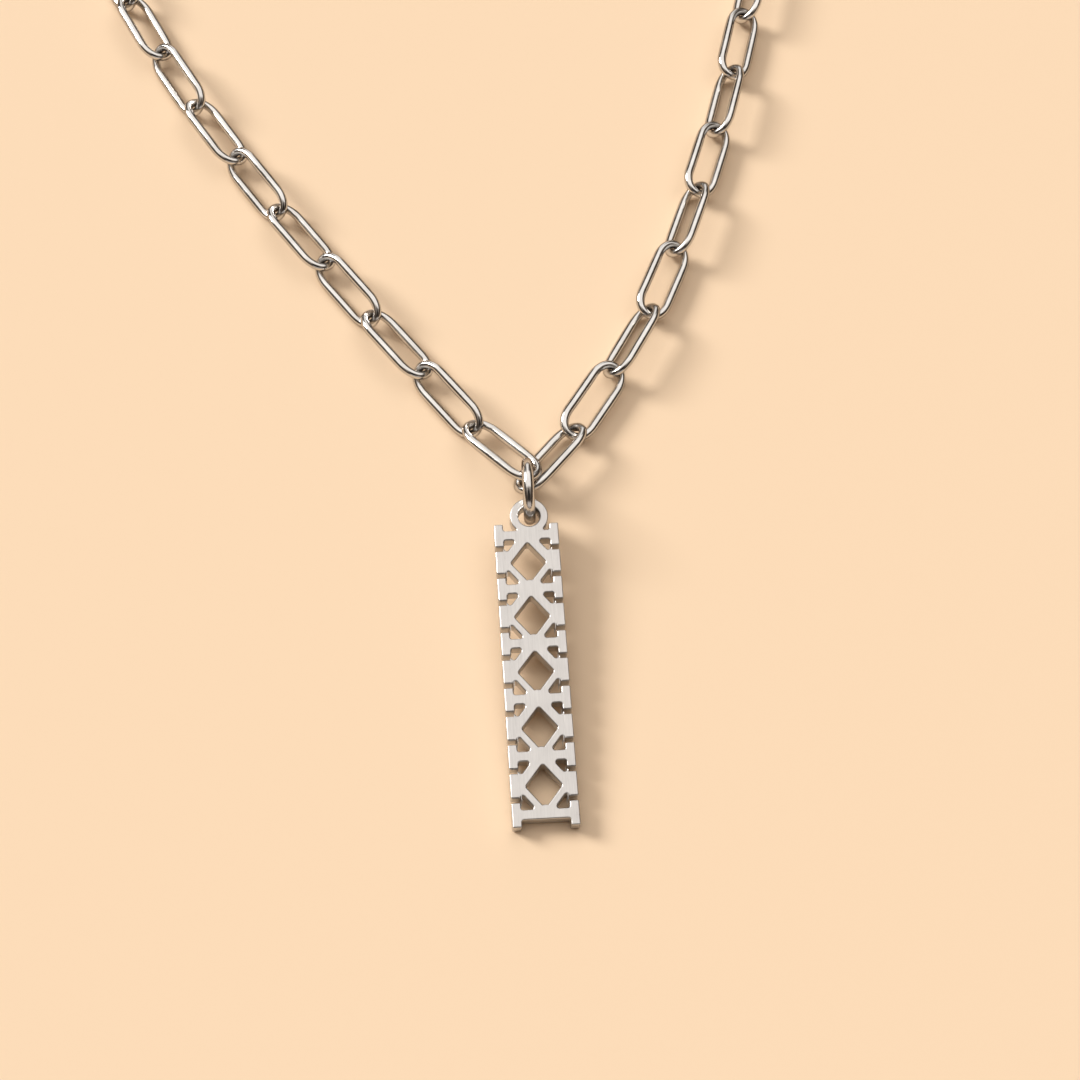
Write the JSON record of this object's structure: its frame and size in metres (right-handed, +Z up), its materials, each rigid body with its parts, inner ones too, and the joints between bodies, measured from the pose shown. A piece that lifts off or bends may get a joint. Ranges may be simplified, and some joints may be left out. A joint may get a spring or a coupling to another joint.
{
  "type": "bar necklace",
  "caption": "Steel necklace laid flat: long oval link chain closed by a clasp, with an openwork lozenge bar hanging by its eye from one large jump ring.",
  "frame": {"origin": "in the middle of the neck opening, on the surface that the necklace lies on", "axes": "+Y from the bar towards the clasp, +X to the right seen from above, +Z up out of the surface"},
  "size_m": [0.0975, 0.2223, 0.0065],
  "materials": {
    "polished_steel": "polished, faint drawing lines along the wire",
    "satin_steel": "satin face with a fine grain across the bar, polished edges"
  },
  "bodies": {
    "root": {"chain_left": "polished_steel", "chain_right": "polished_steel", "jump_ring": "polished_steel", "nameplate": "satin_steel", "small_ring": "polished_steel", "clasp": "polished_steel", "end_ring": "polished_steel"}
  },
  "joints": []
}
